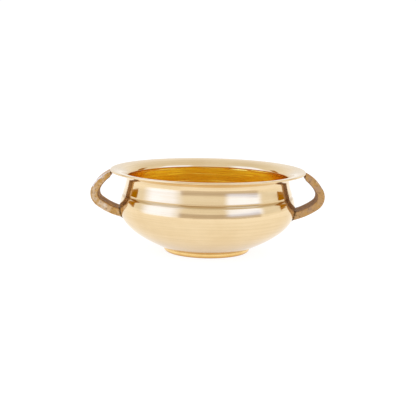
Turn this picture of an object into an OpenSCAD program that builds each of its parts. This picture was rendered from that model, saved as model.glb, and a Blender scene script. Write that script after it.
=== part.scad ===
// Brass urli: a flared serving bowl on a low foot ring, with two cast strap handles brazed on.
// Origin at the middle of the foot, where it stands. +Z is up and the handles lie on +X and -X.

/* [Bowl] */
// Diameter across the rim
rim_d = 178; // [168:1:190]
// Height from the table to the top of the rim
bowl_h = 75; // [72:1:80]
// Widest diameter of the belly
belly_d = 160.6; // [156:0.2:164]
// Outer diameter of the neck under the rim
neck_d = 148.8; // [145:0.2:151]
// Thickness of the wall
wall = 1.5; // [1.2:0.1:2]
// Thickness of the rim at its edge
lip_t = 1.6; // [1.4:0.1:2.4]
// How far the flared rim rises above the throat
flare_h = 7; // [5:0.5:7.5]

/* [Turned line] */
// Height of the turned line round the shoulder
line_z = 52.7; // [50:0.1:55]
// Width of the line
line_w = 3.6; // [1.5:0.1:4]
// Depth of the line
line_depth = 0.4; // [0.2:0.05:0.6]

/* [Foot] */
// Diameter of the foot ring where it meets the bowl
foot_d = 79.4; // [70:0.2:84]
// Height of the foot ring
foot_h = 4; // [3:0.5:5]
// Width of the foot ring where it meets the bowl
foot_w = 6.2; // [5:0.2:8]

/* [Handles] */
// Thickness of the cast strap, seen from the front
bar_t = 7.2; // [6.4:0.1:8]
// Width of the cast strap, front to back
bar_w = 22; // [16:0.5:24]
// Size of the strap's filed corners
bar_corner = 0.9; // [0.5:0.1:1.5]
// Radius of the strap's elbow
elbow_r = 10.2; // [9.6:0.2:11.4]
// Thickness of the braze under each handle's lower end
braze_t = 0.6; // [0.4:0.1:1]

/* [Hidden] */

$fn = 128;
rim_r = rim_d / 2;
belly_r = belly_d / 2;
neck_r = neck_d / 2;
foot_r = foot_d / 2;

// Belly: one curve from the foot to the widest point
belly_z = 41.2;
belly_rise = 25.5;    // slope where the belly leaves the foot
belly_pull = 18.3;    // how long the curve keeps that slope
belly_reach = 19;     // how long it runs upright below the widest point
belly_steps = 18;

// Flared rim
neck_z = bowl_h - 7.6;    // where the outside starts to flare
throat_r = neck_r - wall;
flare_steps = 9;
lip_round = 0.6;

// Handle: three arcs joined end to end. A slope is measured down from level, going outwards.
arm_z = bowl_h - 5.8; // height of the strap's middle where it meets the rim
slopes = [23.8, 62, 144, 164.5];
radii = [26.3, elbow_r, 58.6];
upper_inner_r = 38;   // the upper arm's inner side is flatter, so the arm thins towards the rim
run_in = 14;          // extra turn at each end, cut off by the bowl
rim_cut_z = 60;       // the rim's edge cuts the strap off above this height

// Brazed joints
rim_fillet = 5.6;     // how far the filler creeps in under the rim
rim_fillet_drop = 4.6;
rim_fillet_w = 20;
braze_proud = 0.9;    // how far the filler shows round the lower end
foot_fillet = 1.8;

// Foot ring
foot_tuck = 3;        // how far the outside tucks in towards the table
foot_edge = 0.5;      // bevel at the inside of the ring, where it stands

// A point on a cubic curve, and a run of them
function cubic(a, b, c, d, t) =
    pow(1 - t, 3) * a + 3 * t * pow(1 - t, 2) * b + 3 * t * t * (1 - t) * c + pow(t, 3) * d;
function curve(a, b, c, d, n) = [for (i = [0 : n]) cubic(a, b, c, d, i / n)];

// A shallow groove between two points, h deep at its middle
function groove(a, b, h, n) =
    let (side = [a.y - b.y, b.x - a.x] / norm(b - a))
    [for (i = [1 : n]) a + (b - a) * i / n + side * h * sin(180 * i / n)];

// A quarter of an ellipse from its upright side round to its level side
function flare(start, end, n) =
    [for (i = [1 : n]) [end.x - (end.x - start.x) * cos(90 * i / n), start.y + (end.y - start.y) * sin(90 * i / n)]];

// A run of points moved sideways by d, to its left
function inset(run, d) =
    let (last = len(run) - 1)
    [for (i = [0 : last])
        let (way = run[min(i + 1, last)] - run[max(i - 1, 0)])
        run[i] + d * [-way.y, way.x] / norm(way)];

function backwards(run) = [for (i = [len(run) - 1 : -1 : 0]) run[i]];

// The shoulder leans in from the widest point to the neck, upright at both ends
function shoulder(z) =
    let (t = (z - belly_z) / (neck_z - belly_z))
    [belly_r - (belly_r - neck_r) * t * t * (3 - 2 * t), z];
function shoulder_run(from, to, n) = [for (i = [1 : n]) shoulder(from + (to - from) * i / n)];

// Outside of the bowl, from the foot up to the start of the flare
belly = curve(
    [foot_r, foot_h],
    [foot_r + belly_pull * cos(belly_rise), foot_h + belly_pull * sin(belly_rise)],
    [belly_r, belly_z - belly_reach],
    [belly_r, belly_z],
    belly_steps
);
line_from = line_z - line_w / 2;
line_to = line_z + line_w / 2;
outside = concat(
    belly,
    shoulder_run(belly_z, line_from, 6),
    groove(shoulder(line_from), shoulder(line_to), line_depth, 6),
    shoulder_run(line_to, neck_z, 8)
);

// Underside and top of the flared rim
under_rim = flare([neck_r, neck_z], [rim_r - lip_round, bowl_h - lip_t], flare_steps);
over_rim = flare([throat_r, bowl_h - flare_h], [rim_r - lip_round, bowl_h], flare_steps);
lip = [
    [rim_r - lip_round * 0.3, bowl_h - lip_t + lip_round * 0.3],
    [rim_r, bowl_h - lip_t + lip_round],
    [rim_r, bowl_h - lip_round],
    [rim_r - lip_round * 0.3, bowl_h - lip_round * 0.3]
];

// Inside of the bowl, from the floor up to the throat
inside = [for (p = inset(outside, wall)) if (p.y > foot_h + wall) p];

module half_plane_turn(points) {
    rotate_extrude() polygon(points);
}

module bowl_shell() {
    color("gold") half_plane_turn(concat(
        [[0, foot_h]],
        outside,
        under_rim,
        lip,
        backwards(over_rim),
        [[throat_r, bowl_h - flare_h]],
        backwards(inside),
        [[0, foot_h + wall]]
    ));
}

// The ring's outside is a quarter round that tucks in towards the table
module foot_ring() {
    stand_r = foot_r - foot_tuck;
    seam_r = foot_r - foot_w;
    color("goldenrod") half_plane_turn(concat(
        [for (i = [0 : 6]) [stand_r + foot_tuck * sin(15 * i), foot_h * (1 - cos(15 * i))]],
        [[seam_r, foot_h], [seam_r, foot_edge], [seam_r + foot_edge, 0]]
    ));
}

// Filler run round the corner between the ring's inside and the bottom of the bowl
module braze_foot() {
    seam_r = foot_r - foot_w;
    color("saddlebrown") half_plane_turn(concat(
        [[seam_r, foot_h]],
        [for (i = [0 : 4]) [
            seam_r - foot_fillet * (1 - sin(22.5 * (4 - i))),
            foot_h - foot_fillet * (1 - cos(22.5 * (4 - i)))
        ]]
    ));
}

// Handle geometry in the X-Z plane
function off(slope) = [sin(slope), cos(slope)];
mid_a = [rim_r, arm_z] - radii[0] * off(slopes[0]);
mid_b = mid_a + (radii[0] - radii[1]) * off(slopes[1]);
mid_c = mid_b + (radii[1] - radii[2]) * off(slopes[2]);
mid_flat = mid_a + (radii[0] - bar_t / 2 - upper_inner_r) * off(slopes[1]);

// Turns a section about a point of the X-Z plane, from one slope to another.
// The point is reached in two moves, a coarse and a fine one, so that neighbouring arcs meet exactly.
module arc(mid, from, to) {
    coarse = [round(mid.x * 100) / 100, round(mid.y * 100) / 100];
    translate([coarse.x, 0, coarse.y])
        translate([mid.x - coarse.x, 0, mid.y - coarse.y])
            rotate([90, 0, 0])
                rotate_extrude(angle = to - from, start = 90 - to) children();
}

// The strap's section, square to its length, with the middle of the turn at the left
module bar_section(turn_r, grow = 0) {
    t = bar_t / 2 + grow;
    w = bar_w / 2 + grow;
    c = bar_corner;
    polygon([
        [turn_r - t, c - w], [turn_r - t + c, -w], [turn_r + t - c, -w], [turn_r + t, c - w],
        [turn_r + t, w - c], [turn_r + t - c, w], [turn_r - t + c, w], [turn_r - t, w - c]
    ]);
}

// The upper arm: the plain strap with its inner side cut back along a flatter arc
module upper_arm() {
    t = bar_t / 2;
    w = bar_w / 2;
    c = bar_corner;
    spare = 2;
    difference() {
        arc(mid_a, slopes[0] - run_in, slopes[1]) polygon([
            [radii[0] - 3 * t, -w], [radii[0] + t - c, -w], [radii[0] + t, c - w],
            [radii[0] + t, w - c], [radii[0] + t - c, w], [radii[0] - 3 * t, w]
        ]);
        arc(mid_flat, slopes[1] - 3 * run_in, slopes[1] + 2) polygon([
            [upper_inner_r - 6 * t, -w - spare], [upper_inner_r + c + spare, -w - spare],
            [upper_inner_r, c - w], [upper_inner_r, w - c],
            [upper_inner_r + c + spare, w + spare], [upper_inner_r - 6 * t, w + spare]
        ]);
    }
}

// The belly's outside, grown by d and filled
module belly_solid(d) {
    half_plane_turn(concat([[0, foot_h]], [for (p = outside) p + [d, 0]], [[0, neck_z]]));
}

module handle() {
    difference() {
        union() {
            upper_arm();
            arc(mid_b, slopes[1], slopes[2]) bar_section(radii[1]);
            arc(mid_c, slopes[2], slopes[3] + run_in) bar_section(radii[2]);
        }
        translate([0, 0, rim_cut_z]) cylinder(r = rim_r, h = bowl_h);
        belly_solid(braze_t);
    }
}

// Filler in the corner between the handle's end and the underside of the rim
module braze_rim() {
    half_turn = asin(rim_fillet_w / 2 / rim_r);
    root = [for (p = under_rim) if (p.x > rim_r - rim_fillet) p];
    low = [rim_r, bowl_h - lip_t - rim_fillet_drop];
    rotate(-half_turn) rotate_extrude(angle = 2 * half_turn) polygon(concat(
        [low],
        [[rim_r, bowl_h - lip_t + lip_round]],
        [[rim_r - lip_round * 0.3, bowl_h - lip_t + lip_round * 0.3]],
        backwards(root),
        [for (i = [1 : 4]) let (t = i / 5) [
            root[0].x + (low.x - root[0].x) * t,
            root[0].y + (low.y - root[0].y) * t * t
        ]]
    ));
}

// Filler between the handle's lower end and the belly, showing as a thin collar
module braze_belly() {
    intersection() {
        difference() {
            belly_solid(braze_t);
            belly_solid(0);
        }
        arc(mid_c, slopes[2], slopes[3] + run_in) bar_section(radii[2], braze_proud);
    }
}

module handle_left() {
    color("darkgoldenrod") mirror([1, 0, 0]) handle();
}

module handle_right() {
    color("darkgoldenrod") handle();
}

module braze_rim_left() {
    color("saddlebrown") mirror([1, 0, 0]) braze_rim();
}

module braze_rim_right() {
    color("saddlebrown") braze_rim();
}

module braze_belly_left() {
    color("saddlebrown") mirror([1, 0, 0]) braze_belly();
}

module braze_belly_right() {
    color("saddlebrown") braze_belly();
}

bowl_shell();
foot_ring();
braze_foot();
handle_left();
braze_rim_left();
braze_belly_left();
handle_right();
braze_rim_right();
braze_belly_right();
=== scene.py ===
import bmesh
import bpy
from math import acos, asin, ceil, cos, hypot, pi, radians, sin, sqrt
from mathutils import Matrix, Vector, noise


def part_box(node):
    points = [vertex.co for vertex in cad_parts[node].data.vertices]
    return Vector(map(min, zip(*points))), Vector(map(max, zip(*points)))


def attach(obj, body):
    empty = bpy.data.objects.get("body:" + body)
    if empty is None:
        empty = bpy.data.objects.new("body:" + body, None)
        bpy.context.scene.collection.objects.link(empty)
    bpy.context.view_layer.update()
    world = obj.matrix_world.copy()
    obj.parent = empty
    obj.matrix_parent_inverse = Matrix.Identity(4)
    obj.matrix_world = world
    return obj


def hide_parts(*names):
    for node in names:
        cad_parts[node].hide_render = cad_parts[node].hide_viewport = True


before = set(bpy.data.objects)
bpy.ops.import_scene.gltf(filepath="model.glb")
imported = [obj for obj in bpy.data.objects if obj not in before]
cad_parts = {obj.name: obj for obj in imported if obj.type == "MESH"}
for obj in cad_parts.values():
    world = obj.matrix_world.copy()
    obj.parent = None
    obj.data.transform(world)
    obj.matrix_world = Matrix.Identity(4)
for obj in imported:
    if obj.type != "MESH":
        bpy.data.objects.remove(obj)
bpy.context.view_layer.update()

# A turned brass serving bowl with two cast strap handles brazed on.
# Sizes are in millimetres until makePiece turns them into metres.
mm = 0.001
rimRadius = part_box("bowl_shell")[1][0] / mm
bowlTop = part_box("bowl_shell")[1][2] / mm
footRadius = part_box("foot_ring")[1][0] / mm
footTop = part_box("foot_ring")[1][2] / mm
noiseLow, noiseHigh = 0.35, 0.65              # nearly all of a noise texture lies between these


# Helpers

def hexColour(code):                          # sRGB hex, as a colour picker shows it, to linear RGBA
    parts = [int(code[i:i + 2], 16) / 255 for i in (1, 3, 5)]
    return [p / 12.92 if p <= 0.04045 else ((p + 0.055) / 1.055) ** 2.4 for p in parts] + [1.0]


def addNode(tree, kind, inputs=None, **settings):    # one node, its settings and what feeds it
    made = tree.nodes.new(kind)
    for name, value in settings.items():
        setattr(made, name, value)
    for name, value in (inputs or {}).items():
        if isinstance(value, bpy.types.NodeSocket):
            tree.links.new(value, made.inputs[name])
        else:
            made.inputs[name].default_value = value
    return made


def newMaterial(name):                        # a metal shader, still without its colour and roughness
    material = bpy.data.materials.new(name)
    material.use_nodes = True
    shader = material.node_tree.nodes["Principled BSDF"]
    shader.inputs["Metallic"].default_value = 1.0
    return material, material.node_tree, shader


def makePiece(name, points, faces, finish, stands, materials, side=None, crease=40, stainAndShade=None):
    mesh = bpy.data.meshes.new(name)
    mesh.from_pydata([(x * mm, y * mm, z * mm) for x, y, z in points], [], faces)
    for material in materials:
        mesh.materials.append(material)
    if side:
        mesh.polygons.foreach_set("material_index", side)
    mesh.polygons.foreach_set("use_smooth", [True] * len(mesh.polygons))
    build = bmesh.new()
    build.from_mesh(mesh)
    bmesh.ops.recalc_face_normals(build, faces=build.faces)
    build.to_mesh(mesh)
    build.free()
    mesh.set_sharp_from_angle(angle=radians(crease))
    if stainAndShade:                                 # how much stain and painted shade each point has, read by the material
        mesh.attributes.new("stainAndShade", "FLOAT", "POINT").data.foreach_set("value", stainAndShade)
    piece = bpy.data.objects.new(name, mesh)
    bpy.context.collection.objects.link(piece)
    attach(piece, "root")
    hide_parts(*stands)
    print(finish, name, len(mesh.polygons), "faces")
    return piece


def lerp(a, b, t):
    return tuple(p + (q - p) * t for p, q in zip(a, b))


def ramp(value, start, end):                  # 0 up to start, 1 from end on; end may be the lower one
    return min(1.0, max(0.0, (value - start) / (end - start)))


def cubic(a, b, c, d, steps):                 # points along a cubic curve, the first one left out
    run = []
    for i in range(1, steps + 1):
        t = i / steps
        w = ((1 - t) ** 3, 3 * t * (1 - t) ** 2, 3 * t * t * (1 - t), t ** 3)
        run.append(tuple(w[0] * p + w[1] * q + w[2] * r + w[3] * s for p, q, r, s in zip(a, b, c, d)))
    return run


def groove(a, b, depth, steps):               # a shallow groove between two points
    length = hypot(b[0] - a[0], b[1] - a[1])
    side = ((a[1] - b[1]) / length, (b[0] - a[0]) / length)
    run = []
    for i in range(1, steps + 1):
        x, z = lerp(a, b, i / steps)
        deep = depth * sin(pi * i / steps)
        run.append((x + side[0] * deep, z + side[1] * deep))
    return run


def quarter(start, end, steps):               # a quarter ellipse from upright to level
    angles = [pi / 2 * i / steps for i in range(1, steps + 1)]
    return [(end[0] - (end[0] - start[0]) * cos(a), start[1] + (end[1] - start[1]) * sin(a)) for a in angles]


def inset(run, depth):                        # the same run moved to its left
    moved = []
    for i, (x, z) in enumerate(run):
        a = run[max(i - 1, 0)]
        b = run[min(i + 1, len(run) - 1)]
        length = hypot(b[0] - a[0], b[1] - a[1])
        moved.append((x - depth * (b[1] - a[1]) / length, z + depth * (b[0] - a[0]) / length))
    return moved


# Bowl profile, from the foot up and round the rim to the middle of the floor

bowl = {
    "bellyRadius": 80.3, "bellyHeight": 41.2,  # widest point
    "bellyRise": 25.5, "bellyPull": 18.3, "bellyReach": 19.0,
    "neckRadius": 74.4, "neckHeight": 67.4,
    "wall": 1.5, "lip": 1.6, "flareRise": 7.0, "lipRound": 0.6,
    "lineHeight": 52.7, "lineWidth": 3.6, "lineDepth": 0.4,
    "paintedShadeTop": 20.0, "paintedShadeLow": 0.75,       # where the painted shade above the foot ends, and how strong it gets
    "insideDarkTop": 34.0, "insideDarkLow": 0.42,         # the same for the inside, darker towards its floor
    "around": 400,                            # steps round the bowl
    "wobble": 0.13, "wobbleSize": 32.0,       # a hand-turned wall is never quite round
}


def shoulder(z):                              # leans in from the widest point to the neck, upright at both ends
    t = (z - bowl["bellyHeight"]) / (bowl["neckHeight"] - bowl["bellyHeight"])
    return (bowl["bellyRadius"] - (bowl["bellyRadius"] - bowl["neckRadius"]) * t * t * (3 - 2 * t), z)


def shoulderRun(low, high, steps):
    return [shoulder(low + (high - low) * i / steps) for i in range(1, steps + 1)]


def bowlOutside():
    seat = (footRadius, footTop)
    rise = radians(bowl["bellyRise"])
    run = [seat] + cubic(
        seat,
        (seat[0] + bowl["bellyPull"] * cos(rise), seat[1] + bowl["bellyPull"] * sin(rise)),
        (bowl["bellyRadius"], bowl["bellyHeight"] - bowl["bellyReach"]),
        (bowl["bellyRadius"], bowl["bellyHeight"]), 80)
    low = bowl["lineHeight"] - bowl["lineWidth"] / 2
    high = bowl["lineHeight"] + bowl["lineWidth"] / 2
    run += shoulderRun(bowl["bellyHeight"], low, 20)
    run += groove(shoulder(low), shoulder(high), bowl["lineDepth"], 12)
    run += shoulderRun(high, bowl["neckHeight"], 26)
    return run


outside = bowlOutside()
lipEdge = rimRadius - bowl["lipRound"]
underRim = quarter((bowl["neckRadius"], bowl["neckHeight"]), (lipEdge, bowlTop - bowl["lip"]), 30)
throat = (bowl["neckRadius"] - bowl["wall"], bowlTop - bowl["flareRise"])
overRim = quarter(throat, (lipEdge, bowlTop), 30)


def outsideRadius(z):                         # radius of the bowl's outside at a height below the rim
    for a, b in zip(outside, outside[1:]):
        if a[1] <= z <= b[1]:
            return a[0] + (b[0] - a[0]) * (z - a[1]) / (b[1] - a[1])
    return outside[0][0] if z < outside[0][1] else outside[-1][0]


def underRimHeight(radius):
    along = min(1.0, (lipEdge - radius) / (lipEdge - bowl["neckRadius"]))
    return bowl["neckHeight"] + (bowlTop - bowl["lip"] - bowl["neckHeight"]) * sin(acos(max(0.0, along)))


def lipRun():                                 # two small rounds with a flat between
    edge = bowl["lipRound"]
    angles = [pi / 2 * i / 5 for i in range(1, 6)]
    run = [(lipEdge + edge * sin(a), bowlTop - bowl["lip"] + edge * (1 - cos(a))) for a in angles]
    run += [(lipEdge + edge * cos(a), bowlTop - edge * (1 - sin(a))) for a in angles[:-1]]
    return run


def bowlRun():
    floor = footTop + bowl["wall"]
    inner = [p for p in inset(outside, bowl["wall"]) if p[1] > floor]
    out = [(0.0, footTop), (footRadius * 0.5, footTop)] + outside + underRim + lipRun()
    back = overRim[::-1] + [throat] + inner[::-1]
    back += [(footRadius * share, floor) for share in (0.7, 0.35, 0.0)]
    return out, back


def wobbled(x, y, z, amount):                 # always inwards, so the piece never outgrows its size
    size = bowl["wobbleSize"]
    push = amount * (noise.noise(Vector((x / size, y / size, z / size))) - 1) / 2
    reach = max(hypot(x, y), 1.0)
    return (x + push * x / reach, y + push * y / reach, z)


def lathe(run, around, amount=0.0, shape=None):      # turns a run about the middle; ends on the axis close up
    points = []
    rings = []
    for radius, z in run:
        if radius < 0.01:
            rings.append([len(points)])
            points.append((0.0, 0.0, z))
            continue
        ring = []
        for k in range(around):
            a = 2 * pi * k / around
            r, h = shape(radius, z, a) if shape else (radius, z)
            ring.append(len(points))
            points.append(wobbled(r * cos(a), r * sin(a), h, amount))
        rings.append(ring)
    faces = []
    for low, high in zip(rings, rings[1:]):
        for k in range(around):
            n = (k + 1) % around
            if len(low) == 1:
                faces.append((low[0], high[n], high[k]))
            elif len(high) == 1:
                faces.append((low[k], low[n], high[0]))
            else:
                faces.append((low[k], low[n], high[n], high[k]))
    return points, faces, rings


# Materials

def turnedBrass(name, finish):                # long thin marks run round the piece, as the tool left them
    material, tree, shader = newMaterial(name)
    place = addNode(tree, "ShaderNodeTexCoord")
    split = addNode(tree, "ShaderNodeSeparateXYZ", {"Vector": place.outputs["Object"]})
    flat = addNode(tree, "ShaderNodeCombineXYZ", {"X": split.outputs["X"], "Y": split.outputs["Y"]})
    reach = addNode(tree, "ShaderNodeVectorMath", {0: flat.outputs["Vector"]}, operation="LENGTH")
    slow = finish["markSpacing"] / finish["markLength"]
    sideways = addNode(tree, "ShaderNodeMath", {0: split.outputs["X"], 1: slow}, operation="MULTIPLY")
    depthways = addNode(tree, "ShaderNodeMath", {0: split.outputs["Y"], 1: slow}, operation="MULTIPLY")
    ringed = addNode(tree, "ShaderNodeCombineXYZ",
                     {"X": reach.outputs["Value"], "Y": split.outputs["Z"], "Z": sideways.outputs["Value"]})
    marks = addNode(tree, "ShaderNodeTexNoise",
                    {"Vector": ringed.outputs["Vector"], "W": depthways.outputs["Value"],
                     "Scale": 1 / (finish["markSpacing"] * mm), "Detail": 2.0, "Roughness": 0.6},
                    noise_dimensions="4D")
    cloud = addNode(tree, "ShaderNodeTexNoise",
                    {"Vector": place.outputs["Object"], "Scale": 1 / (finish["cloud"] * mm), "Detail": 3.0})
    both = addNode(tree, "ShaderNodeMath", {0: cloud.outputs["Fac"], 1: marks.outputs["Fac"]}, operation="ADD")
    age = addNode(tree, "ShaderNodeMapRange",
                  {"Value": both.outputs["Value"], "From Min": finish["agedFrom"], "From Max": finish["agedTo"],
                   "To Min": 0.0, "To Max": finish["aged"]})
    skin = addNode(tree, "ShaderNodeMix",
                   {0: age.outputs["Result"], 6: hexColour(finish["colour"]), 7: hexColour(finish["tarnish"])},
                   data_type="RGBA")
    stainAndShade = addNode(tree, "ShaderNodeAttribute", attribute_name="stainAndShade")
    # the attribute darkens the brass, with stain and painted shade
    colour = addNode(tree, "ShaderNodeMix",
                     {0: stainAndShade.outputs["Fac"], 6: skin.outputs[2], 7: hexColour(finish["stainAndShade"])}, data_type="RGBA")
    dull = addNode(tree, "ShaderNodeMapRange",
                   {"Value": marks.outputs["Fac"], "From Min": noiseLow, "From Max": noiseHigh,
                    "To Min": finish["roughLow"], "To Max": finish["roughHigh"]})
    bump = addNode(tree, "ShaderNodeBump", {"Height": marks.outputs["Fac"], "Distance": finish["markDepth"] * mm})
    tree.links.new(colour.outputs[2], shader.inputs["Base Color"])
    tree.links.new(dull.outputs["Result"], shader.inputs["Roughness"])
    tree.links.new(bump.outputs["Normal"], shader.inputs["Normal"])
    return material


polished = {
    "colour": "#ECD3A8", "tarnish": "#E0C393", "aged": 0.6, "agedFrom": 0.8, "agedTo": 1.2,
    "stainAndShade": "#BF9C68",                       # painted shade: brown in the turned line and above the foot
    "roughLow": 0.05, "roughHigh": 0.13,
    "markSpacing": 1.8, "markLength": 60.0, "markDepth": 0.05,    # real marks are 0.3 mm apart, drawn wider to show
    "cloud": 26.0,
}
inner = {
    "colour": "#FAE074", "tarnish": "#F1C954", "aged": 0.9, "agedFrom": 0.8, "agedTo": 1.2,
    "stainAndShade": "#CB9C50",                       # the floor is darker than the wall
    "roughLow": 0.12, "roughHigh": 0.24,
    "markSpacing": 4.2, "markLength": 95.0, "markDepth": 1.5,    # real marks are 0.5 mm apart, drawn wider
    "cloud": 18.0,
}
footFinish = {
    "colour": "#FBDA98", "tarnish": "#EABE70", "aged": 0.6, "agedFrom": 0.8, "agedTo": 1.2,
    "stainAndShade": "#B47612",                       # painted shade along its lower edge, next to the table
    "roughLow": 0.14, "roughHigh": 0.28,
    "markSpacing": 1.2, "markLength": 40.0, "markDepth": 0.015,
    "cloud": 9.0,
}
castFinish = {
    # pale is a painted highlight colour, reached where the attribute drops below zero
    "pale": "#EADCCB", "filed": "#C29656", "skin": "#B49479", "dirt": "#5A3E22",
    "edge": "#D9B48C",
    "skinFrom": 0.7, "skinTo": 1.0, "skinMetal": 0.45, "skinRough": 0.3,    # oxide, so dull and less metallic
    "pitFrom": 0.55, "pitTo": 0.75, "pitDirt": 0.7,
    "roughLow": 0.26, "roughHigh": 0.46,
    "grain": 1.6, "cloud": 7.0, "scratch": 1.1, "depth": 0.05,    # sand grain is 0.2 mm, drawn coarser to show
    "stretch": 0.12,                          # file scratches run across the strap
}
fillerFinish = {
    "colour": "#A07A48", "stainAndShade": "#5A3C20",
    "roughLow": 0.4, "roughHigh": 0.65,
    "lump": 1.5, "depth": 0.12,
}


def castBrass(name, finish):                  # bright where the file met it, brown sand-cast skin where it did not, plus painted highlight and shade from the attribute
    material, tree, shader = newMaterial(name)
    shader.inputs["Specular Tint"].default_value = hexColour(finish["edge"])
    place = addNode(tree, "ShaderNodeTexCoord")
    grain = addNode(tree, "ShaderNodeTexNoise",
                    {"Vector": place.outputs["Object"], "Scale": 1 / (finish["grain"] * mm), "Detail": 4.0})
    cloud = addNode(tree, "ShaderNodeTexNoise",
                    {"Vector": place.outputs["Object"], "Scale": 1 / (finish["cloud"] * mm), "Detail": 3.0})
    along = addNode(tree, "ShaderNodeMapping",
                    {"Vector": place.outputs["Object"], "Scale": (1.0, finish["stretch"], 1.0)})
    scratch = addNode(tree, "ShaderNodeTexNoise",
                      {"Vector": along.outputs["Vector"], "Scale": 1 / (finish["scratch"] * mm), "Detail": 2.0})
    stainAndShade = addNode(tree, "ShaderNodeAttribute", attribute_name="stainAndShade")
    # the attribute adds the inner-side skin and painted highlight and shade
    drift = addNode(tree, "ShaderNodeMath", {0: cloud.outputs["Fac"], 1: stainAndShade.outputs["Fac"]}, operation="ADD")
    tone = addNode(tree, "ShaderNodeValToRGB", {"Fac": drift.outputs["Value"]})
    tone.color_ramp.elements[0].position = 0.1
    tone.color_ramp.elements[0].color = hexColour(finish["pale"])
    tone.color_ramp.elements[1].position = 0.95
    tone.color_ramp.elements[1].color = hexColour(finish["skin"])
    tone.color_ramp.elements.new(0.5).color = hexColour(finish["filed"])
    pits = addNode(tree, "ShaderNodeMapRange",
                   {"Value": grain.outputs["Fac"], "From Min": finish["pitFrom"], "From Max": finish["pitTo"],
                    "To Min": 0.0, "To Max": finish["pitDirt"]})
    colour = addNode(tree, "ShaderNodeMix",
                     {0: pits.outputs["Result"], 6: tone.outputs["Color"], 7: hexColour(finish["dirt"])},
                     data_type="RGBA")
    dull = addNode(tree, "ShaderNodeMapRange",
                   {"Value": grain.outputs["Fac"], "From Min": noiseLow, "From Max": noiseHigh,
                    "To Min": finish["roughLow"], "To Max": finish["roughHigh"]})
    bare = addNode(tree, "ShaderNodeMapRange",
                   {"Value": drift.outputs["Value"], "From Min": finish["skinFrom"], "From Max": finish["skinTo"],
                    "To Min": 1.0, "To Max": finish["skinMetal"]})
    height = addNode(tree, "ShaderNodeMath", {0: grain.outputs["Fac"], 1: scratch.outputs["Fac"]}, operation="ADD")
    bump = addNode(tree, "ShaderNodeBump", {"Height": height.outputs["Value"], "Distance": finish["depth"] * mm})
    matt = addNode(tree, "ShaderNodeMapRange",
                   {"Value": drift.outputs["Value"], "From Min": finish["skinFrom"], "From Max": finish["skinTo"],
                    "To Min": 0.0, "To Max": finish["skinRough"]})
    rough = addNode(tree, "ShaderNodeMath", {0: dull.outputs["Result"], 1: matt.outputs["Result"]}, operation="ADD")
    tree.links.new(colour.outputs[2], shader.inputs["Base Color"])
    tree.links.new(bare.outputs["Result"], shader.inputs["Metallic"])
    tree.links.new(rough.outputs["Value"], shader.inputs["Roughness"])
    tree.links.new(bump.outputs["Normal"], shader.inputs["Normal"])
    return material


def frozenFiller(name, finish):               # lumpy, as it froze, and dark with burnt flux
    material, tree, shader = newMaterial(name)
    place = addNode(tree, "ShaderNodeTexCoord")
    lump = addNode(tree, "ShaderNodeTexNoise",
                   {"Vector": place.outputs["Object"], "Scale": 1 / (finish["lump"] * mm), "Detail": 4.0})
    burnt = addNode(tree, "ShaderNodeMapRange",
                    {"Value": lump.outputs["Fac"], "From Min": noiseLow, "From Max": noiseHigh})
    colour = addNode(tree, "ShaderNodeMix",
                     {0: burnt.outputs["Result"], 6: hexColour(finish["colour"]), 7: hexColour(finish["stainAndShade"])},
                     data_type="RGBA")
    dull = addNode(tree, "ShaderNodeMapRange",
                   {"Value": lump.outputs["Fac"], "From Min": noiseLow, "From Max": noiseHigh,
                    "To Min": finish["roughLow"], "To Max": finish["roughHigh"]})
    bump = addNode(tree, "ShaderNodeBump", {"Height": lump.outputs["Fac"], "Distance": finish["depth"] * mm})
    tree.links.new(colour.outputs[2], shader.inputs["Base Color"])
    tree.links.new(dull.outputs["Result"], shader.inputs["Roughness"])
    tree.links.new(bump.outputs["Normal"], shader.inputs["Normal"])
    return material


brassOutside = turnedBrass("polished_turned_brass", polished)      # a warm mirror with faint level streaks, and painted shade in the turned line and above the foot
brassInside = turnedBrass("unbuffed_turned_brass", inner)          # deeper gold, with clear tool rings
brassFoot = turnedBrass("foot_turned_brass_painted_shade", footFinish)     # golden and a little dull, with painted shade along its lower edge
brassCast = castBrass("sand_cast_filed_brass", castFinish)         # satin tan, brown on the inner sides, with painted highlight and shade on the outer side
brazeFiller = frozenFiller("flux_stained_braze", fillerFinish)     # a dark matt seam
print("materials ready")


# Bowl

def makeBowl():
    out, back = bowlRun()
    points, faces, rings = lathe(out + back, bowl["around"], bowl["wobble"])
    inside = len(out) + len(overRim) + 1
    side = []
    for low in range(len(rings) - 1):
        side += [1 if low >= inside else 0] * bowl["around"]
    stainAndShade = []
    for i, (radius, z) in enumerate(out + back):
        away = abs(2 * (z - bowl["lineHeight"]) / bowl["lineWidth"])
        low = (bowl["paintedShadeTop"] - z) / (bowl["paintedShadeTop"] - footTop)
        # painted shade: darkest in the turned line, and growing towards the foot
        depth = max(1 - away * away, bowl["paintedShadeLow"] * low, 0.0)
        if i >= len(out):
            # the inside grows darker towards its floor
            depth = bowl["insideDarkLow"] * max(0.0, 1 - z / bowl["insideDarkTop"])
        stainAndShade += [depth] * len(rings[i])
    return makePiece("turned_bowl", points, faces, "turned", ["bowl_shell"],
                     [brassOutside, brassInside], side, crease=60, stainAndShade=stainAndShade)


makeBowl()


# Foot ring and the seam inside it

foot = {
    "tuck": 3.0, "width": 6.2, "edge": 0.5,   # the outside tucks in towards the table
    "treadIn": 1.2, "seatOut": 3.0,           # a ring of points on the flat below and on the one above
    "seam": 1.8, "seamThinnest": 0.5,
    "paintedShadeFade": 1.4, "wobble": 0.04, "around": 240,
}


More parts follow.
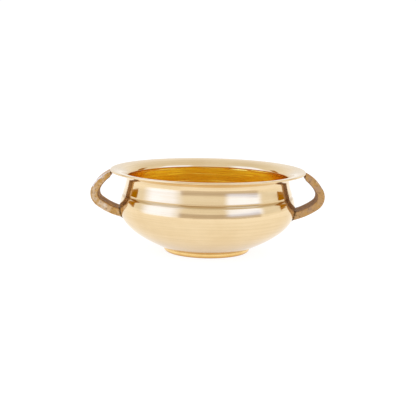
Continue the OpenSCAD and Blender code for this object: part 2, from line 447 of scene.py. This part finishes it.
def makeFoot():
    stand = footRadius - foot["tuck"]
    heel = footRadius - foot["width"]
    edge = foot["edge"]
    tread = stand - foot["treadIn"]
    run = [(tread, 0.0), (stand, 0.0)]
    run += [(stand + foot["tuck"] * sin(a), footTop * (1 - cos(a))) for a in [pi / 24 * i for i in range(1, 13)]]
    run += [(heel + foot["seatOut"], footTop), (heel, footTop), (heel, footTop / 2), (heel, edge)]
    run += [(heel + edge * 0.3, edge * 0.3), (heel + edge, 0.0), (tread, 0.0)]
    points, faces, rings = lathe(run, foot["around"], foot["wobble"])
    # painted shade, darkest at the lower edge where the foot meets the table
    stainAndShade = [max(0.0, 1 - foot["paintedShadeFade"] * point[2] / footTop) for point in points]
    return makePiece("turned_foot", points, faces, "turned", ["foot_ring"], [brassFoot], crease=50,
                     stainAndShade=stainAndShade)


def makeFootBraze():
    heel = footRadius - foot["width"]

    def uneven(radius, z, a):                 # the fillet swells and thins as it goes round
        thinnest = foot["seamThinnest"]
        swell = (1 + thinnest) / 2 + (1 - thinnest) / 2 * noise.noise(Vector((3 * cos(a), 3 * sin(a), radius)))
        return (heel - (heel - radius) * swell, footTop - (footTop - z) * swell)

    run = [(heel, footTop)]
    for i in range(7):
        a = pi / 2 * (6 - i) / 6
        run.append((heel - foot["seam"] * (1 - sin(a)), footTop - foot["seam"] * (1 - cos(a))))
    points, faces, rings = lathe(run + [run[0]], foot["around"], 0.0, uneven)
    return makePiece("foot_braze", points, faces, "brazed", ["braze_foot"], [brazeFiller])


makeFoot()
makeFootBraze()


# Handles: a cast strap on three arcs, its corners filed, cut to the rim and to the belly

handle = {
    "slopes": (23.8, 62, 144, 164.5), "turns": (26.3, 10.2, 58.6),   # measured down from level, going outwards
    "thick": 7.2, "wide": 22.0, "corner": 0.9, "cornerRound": 0.4,
    "armDrop": 5.8, "flatTurn": 38, "runIn": 14,
    "gap": 0.6,                               # filler between the strap and the belly
    "filed": 0.22, "filedSize": 5.0,          # file flats never quite meet
    "trueEnds": 1 / 12,                       # share of the length at each end that keeps its cut shape
    "innerSkin": 0.45,                        # the file misses the side towards the bowl
    "innerSpan": (-0.78, -0.98), "outerSpan": (0.6, 0.85),       # where each side starts, across the strap
    "handleShade": {"left": -0.1, "right": 0.2},     # painted shade: the right handle darker, the left a little lighter
    "outerLightAndShade": {"left": (-0.4, 0.3, -0.05), "right": (-0.12, -0.05, -0.05)},   # painted highlight below zero and painted shade above zero on the outer side, on the arm, elbow and lower arm
    "rings": 150,
}


def off(slope):
    return (sin(radians(slope)), cos(radians(slope)))


def barArcs():                                # each arc: its middle, its radius, and the slopes it runs between
    slopes, turns = handle["slopes"], handle["turns"]
    start = off(slopes[0])
    middle = (rimRadius - turns[0] * start[0], bowlTop - handle["armDrop"] - turns[0] * start[1])
    arcs = []
    for i, turn in enumerate(turns):
        first = slopes[i] - (handle["runIn"] if i == 0 else 0)
        last = slopes[i + 1] + (handle["runIn"] if i == len(turns) - 1 else 0)
        arcs.append((middle, turn, first, last))
        if i + 1 < len(turns):
            way = off(slopes[i + 1])
            middle = (middle[0] + (turn - turns[i + 1]) * way[0], middle[1] + (turn - turns[i + 1]) * way[1])
    return arcs


arcs = barArcs()
arcLengths = [turn * radians(last - first) for middle, turn, first, last in arcs]
barLength = sum(arcLengths)


def barCentre(s):                             # the middle of the bar and its outward way at a length along it
    for i, (middle, turn, first, last) in enumerate(arcs):
        if s <= arcLengths[i] or i == len(arcs) - 1:
            way = off(first + (last - first) * s / arcLengths[i])
            return i, (middle[0] + turn * way[0], middle[1] + turn * way[1]), way
        s -= arcLengths[i]


def innerDepth(i, centre, way):               # the upper arm's inner side follows a flatter arc
    half = handle["thick"] / 2
    if i > 0:
        return half
    middle, turn = arcs[0][0], arcs[0][1]
    joint = off(handle["slopes"][1])
    back = turn - half - handle["flatTurn"]
    far = (centre[0] - middle[0] - back * joint[0], centre[1] - middle[1] - back * joint[1])
    along = far[0] * way[0] + far[1] * way[1]
    return along - sqrt(along * along - far[0] ** 2 - far[1] ** 2 + handle["flatTurn"] ** 2)


def barPoint(s, across, y):                   # across runs from -1 at the inner side to 1 at the outer side
    i, centre, way = barCentre(s)
    half = handle["thick"] / 2
    inner = innerDepth(i, centre, way)
    depth = -inner + (across + 1) / 2 * (half + inner)
    return (centre[0] + depth * way[0], y, centre[1] + depth * way[1])


def barSection(grow=0.0):                     # an octagon with its corners eased, in steps of about a millimetre
    t, w, c = handle["thick"] / 2 + grow, handle["wide"] / 2 + grow, handle["corner"]
    corners = [(-t, c - w), (-t + c, -w), (t - c, -w), (t, c - w), (t, w - c), (t - c, w), (-t + c, w), (-t, w - c)]
    outline = []
    for i, here in enumerate(corners):
        before, after = corners[i - 1], corners[(i + 1) % len(corners)]
        cut = handle["cornerRound"]
        a = lerp(here, before, cut / hypot(here[0] - before[0], here[1] - before[1]))
        b = lerp(here, after, cut / hypot(here[0] - after[0], here[1] - after[1]))
        outline += [lerp(lerp(a, here, u), lerp(here, b, u), u) for u in (0, 0.25, 0.5, 0.75, 1)]
        end = lerp(after, here, cut / hypot(here[0] - after[0], here[1] - after[1]))
        steps = max(1, ceil(hypot(end[0] - b[0], end[1] - b[1])))
        outline += [lerp(b, end, k / steps) for k in range(1, steps)]
    half = handle["thick"] / 2
    return [(n / half, y) for n, y in outline]


def crossing(test, low, high):                # where test changes sign between two lengths
    for _ in range(40):
        middle = (low + high) / 2
        if (test(middle) > 0) == (test(low) > 0):
            low = middle
        else:
            high = middle
    return (low + high) / 2


def rimCut(across, y):
    return crossing(lambda s: hypot(*barPoint(s, across, y)[:2]) - rimRadius, 0.0, barLength * 0.4)


def bellyCut(across, y, gap):
    def test(s):
        x, y2, z = barPoint(s, across, y)
        return hypot(x, y2) - outsideRadius(z) - gap
    return crossing(test, barLength * 0.6, barLength)


def makeHandle(side, sign):
    section = barSection()
    ends = [(rimCut(a, y), bellyCut(a, y, handle["gap"])) for a, y in section]
    points = []
    stainAndShade = []
    size = handle["filedSize"]
    for k in range(handle["rings"] + 1):
        u = k / handle["rings"]
        for (across, y), (start, end) in zip(section, ends):
            s = start + (end - start) * u
            x, y2, z = barPoint(s, across, y)
            i, centre, way = barCentre(s)
            fade = min(1.0, u / handle["trueEnds"], (1 - u) / handle["trueEnds"])
            rub = noise.noise(Vector((sign * x / size, y2 / size, z / size))) - 1
            rub *= handle["filed"] / 2 * fade
            sideways = y / (handle["wide"] / 2)
            reach = hypot(across, sideways)
            points.append((sign * (x + rub * across / reach * way[0]), y2 + rub * sideways / reach,
                           z + rub * across / reach * way[1]))
            towardsBowl = ramp(across, *handle["innerSpan"]) * handle["innerSkin"]
            awayFromBowl = ramp(across, *handle["outerSpan"]) * handle["outerLightAndShade"][side][i]
            # the side offset and the outer side add painted shade and highlight to the skin
            stainAndShade.append(handle["handleShade"][side] + towardsBowl + awayFromBowl)
    count = len(section)
    faces = []
    for k in range(handle["rings"]):
        for j in range(count):
            n = (j + 1) % count
            faces.append((k * count + j, k * count + n, (k + 1) * count + n, (k + 1) * count + j))
    for first in (0, handle["rings"] * count):
        middle = [sum(points[first + j][axis] for j in range(count)) / count for axis in range(3)]
        points.append(tuple(middle))
        stainAndShade.append(handle["innerSkin"])     # the sawn ends are as dark as the inner side
        faces += [(first + j, first + (j + 1) % count, len(points) - 1) for j in range(count)]
    return makePiece("cast_handle_" + side, points, faces, "cast", ["handle_" + side], [brassCast],
                     stainAndShade=stainAndShade)


# Brazed joints at both ends of each handle

braze = {
    "creep": 5.4, "drop": 4.6, "half": 10.0, "sections": 21,      # under the rim
    "thinEnds": 0.25, "uneven": 0.12, "hollow": 0.45,
    "proud": 0.9, "rise": 1.1, "riseUneven": 0.3, "riseHollow": 0.4,    # round the lower end
}


def makeRimBraze(side, sign):
    points = []
    count = 0
    for k in range(braze["sections"]):
        t = 2 * k / (braze["sections"] - 1) - 1
        ease = braze["thinEnds"] + (1 - braze["thinEnds"]) * sqrt(max(0.0, 1 - t ** 4))
        lump = 1 + braze["uneven"] * noise.noise(Vector((3 * t, 7 * sign, 0)))
        creep = min(braze["creep"], braze["creep"] * ease * lump)
        drop = min(braze["drop"], braze["drop"] * ease * lump)
        corner = (rimRadius, bowlTop - bowl["lip"] + bowl["lipRound"])
        low = (rimRadius, bowlTop - bowl["lip"] - drop)
        root = (rimRadius - creep, underRimHeight(rimRadius - creep))
        pull = lerp(lerp(low, root, 0.5), corner, braze["hollow"])
        run = [corner, lerp(corner, low, 0.5)]
        run += [lerp(lerp(low, pull, i / 8), lerp(pull, root, i / 8), i / 8) for i in range(9)]
        for i in range(1, 6):
            radius = rimRadius - creep + (creep - bowl["lipRound"]) * i / 5
            run.append((radius, underRimHeight(radius) + 0.02))
        a = asin(t * braze["half"] / rimRadius)
        points += [(sign * r * cos(a), r * sin(a), z) for r, z in run]
        count = len(run)
    faces = []
    for k in range(braze["sections"] - 1):
        for j in range(count):
            n = (j + 1) % count
            faces.append((k * count + j, k * count + n, (k + 1) * count + n, (k + 1) * count + j))
    last = (braze["sections"] - 1) * count
    faces += [tuple(range(count)), tuple(range(last, last + count))]
    return makePiece("rim_braze_" + side, points, faces, "brazed", ["braze_rim_" + side],
                     [brazeFiller])


def makeBellyBraze(side, sign):
    bare = barSection()
    spread = barSection(braze["proud"])
    points = []
    for (across, y), (across2, y2) in zip(bare, spread):
        under = bellyCut(across, y, 0.0)
        onBelly = barPoint(bellyCut(across2, y2, 0.0), across2, y2)
        lump = 1 + braze["riseUneven"] * noise.noise(Vector((across * 2 + 5 * sign, y / 2, 3)))
        onBar = barPoint(bellyCut(across, y, braze["rise"] * lump), across, y)
        hidden = barPoint(under, across, y)
        pull = lerp(lerp(onBar, onBelly, 0.5), hidden, braze["riseHollow"])
        ring = [lerp(lerp(onBar, pull, u), lerp(pull, onBelly, u), u) for u in (0, 0.2, 0.4, 0.6, 0.8, 1.0)]
        ring.append(lerp(barPoint(under, across * 0.6, y * 0.6), hidden, 0.5))
        points += [(sign * x, y3, z) for x, y3, z in ring]
    rows = len(points) // len(bare)
    faces = []
    for j in range(len(bare)):
        n = (j + 1) % len(bare)
        for i in range(rows):
            m = (i + 1) % rows
            faces.append((j * rows + i, n * rows + i, n * rows + m, j * rows + m))
    return makePiece("belly_braze_" + side, points, faces, "brazed", ["braze_belly_" + side],
                     [brazeFiller])


for side, sign in (("left", -1), ("right", 1)):
    makeHandle(side, sign)
    makeRimBraze(side, sign)
    makeBellyBraze(side, sign)


# Floor, light and camera

studio = {
    "floorSize": 8.0, "floorColour": "#7C7B79", "floorGlow": 0.88,   # white acrylic, lit mostly from below
    "levels": ((0.0, 1.06), (0.04, 1.06), (0.14, 0.93), (0.3, 0.99), (0.55, 0.93), (0.8, 0.86)),   # sine of height
    "windows": (                              # angles in degrees, azimuth from the camera's side; added light
        {"azimuth": -66, "half": 25, "low": -6, "high": 52, "soft": 22, "light": (0.28, 0.53, 1.33)},
        {"azimuth": 52, "half": 25, "low": 9, "high": 42, "soft": 12, "light": (0.28, 0.53, 1.33)},
        {"azimuth": 18, "half": 55, "low": -2, "high": 16, "soft": 5, "light": (-0.30, -0.36, -0.40)},   # dim room
        {"azimuth": -119, "half": 8, "low": 4, "high": 30, "soft": 1, "light": (-0.52, -0.76, -0.95)},    # stands
        {"azimuth": 119, "half": 8, "low": 4, "high": 30, "soft": 1, "light": (-0.52, -0.76, -0.95)},
    ),
    "backdrop": 1.06,
}


def makeFloor():
    half = studio["floorSize"] / 2
    mesh = bpy.data.meshes.new("floor")
    mesh.from_pydata([(-half, -half, 0), (half, -half, 0), (half, half, 0), (-half, half, 0)], [], [(0, 1, 2, 3)])
    material = bpy.data.materials.new("backlit_white_acrylic")    # even white right up to the foot
    material.use_nodes = True
    shader = material.node_tree.nodes["Principled BSDF"]
    shader.inputs["Roughness"].default_value = 0.9
    shader.inputs["Base Color"].default_value = hexColour(studio["floorColour"])
    shader.inputs["Emission Color"].default_value = (1.0, 1.0, 1.0, 1.0)
    shader.inputs["Emission Strength"].default_value = studio["floorGlow"]
    mesh.materials.append(material)
    floor = bpy.data.objects.new("floor", mesh)
    bpy.context.collection.objects.link(floor)


def makeWorld():                              # a white tent, with two soft windows and a dim gap between them
    world = bpy.data.worlds.new("studio")
    bpy.context.scene.world = world
    world.use_nodes = True
    tree = world.node_tree
    tree.nodes.clear()
    place = addNode(tree, "ShaderNodeTexCoord")
    split = addNode(tree, "ShaderNodeSeparateXYZ", {"Vector": place.outputs["Generated"]})
    ramp = addNode(tree, "ShaderNodeValToRGB", {"Fac": split.outputs["Z"]})
    for i, (at, level) in enumerate(studio["levels"]):
        stop = ramp.color_ramp.elements[i] if i < 2 else ramp.color_ramp.elements.new(at)
        stop.position = at
        stop.color = (level, level, level, 1.0)
    toCamera = addNode(tree, "ShaderNodeMath", {0: split.outputs["Y"], 1: -1.0}, operation="MULTIPLY")
    azimuth = addNode(tree, "ShaderNodeMath", {0: split.outputs["X"], 1: toCamera.outputs["Value"]},
                      operation="ARCTAN2")
    height = addNode(tree, "ShaderNodeMath", {0: split.outputs["Z"]}, operation="ARCSINE")
    light = ramp.outputs["Color"]
    for window in studio["windows"]:
        middle = (window["low"] + window["high"]) / 2
        spans = ((azimuth, window["azimuth"], window["half"]), (height, middle, window["high"] - middle))
        inside = []
        for angle, centre, half in spans:
            away = addNode(tree, "ShaderNodeMath", {0: angle.outputs["Value"], 1: radians(centre)},
                           operation="SUBTRACT")
            away = addNode(tree, "ShaderNodeMath", {0: away.outputs["Value"]}, operation="ABSOLUTE")
            edge = min(window["soft"], half)
            inside.append(addNode(tree, "ShaderNodeMapRange",
                                  {"Value": away.outputs["Value"], "From Min": radians(half + edge / 2),
                                   "From Max": radians(half - edge / 2)}, interpolation_type="SMOOTHSTEP"))
        both = addNode(tree, "ShaderNodeMath", {0: inside[0].outputs["Result"], 1: inside[1].outputs["Result"]},
                       operation="MULTIPLY")
        glow = addNode(tree, "ShaderNodeVectorMath", {0: window["light"], 3: both.outputs["Value"]},
                       operation="SCALE")
        light = addNode(tree, "ShaderNodeVectorMath", {0: light, 1: glow.outputs["Vector"]},
                        operation="ADD").outputs["Vector"]
    shining = addNode(tree, "ShaderNodeBackground", {"Color": light, "Strength": 1.0})
    plain = addNode(tree, "ShaderNodeBackground", {"Color": (1.0, 1.0, 1.0, 1.0), "Strength": studio["backdrop"]})
    path = addNode(tree, "ShaderNodeLightPath")
    shown = addNode(tree, "ShaderNodeMixShader",      # seen straight on, the tent is plain white
                    {0: path.outputs["Is Camera Ray"], 1: shining.outputs["Background"],
                     2: plain.outputs["Background"]})
    addNode(tree, "ShaderNodeOutputWorld", {"Surface": shown.outputs["Shader"]})


view = {"reach": 1000.0, "elevation": 7.42, "aim": (0.6, 0.0, 39.4), "roll": 1.13, "lens": 94.8}


def makeCamera():
    e = radians(view["elevation"])
    place = Vector((0, -view["reach"] * cos(e), bowlTop + view["reach"] * sin(e))) * mm
    turn = (Vector(view["aim"]) * mm - place).to_track_quat("-Z", "Y").to_matrix()
    data = bpy.data.cameras.new("camera")
    data.lens = view["lens"]
    data.sensor_width = 36
    camera = bpy.data.objects.new("camera", data)
    camera.matrix_world = Matrix.Translation(place) @ (turn @ Matrix.Rotation(radians(view["roll"]), 3, "Z")).to_4x4()
    bpy.context.collection.objects.link(camera)
    bpy.context.scene.camera = camera


makeFloor()
makeWorld()
makeCamera()
bpy.context.scene.view_settings.view_transform = "Standard"
bpy.context.scene.cycles.max_bounces = 16     # light crosses the inside of the bowl many times
bpy.context.scene.cycles.glossy_bounces = 12
print("stage ready")
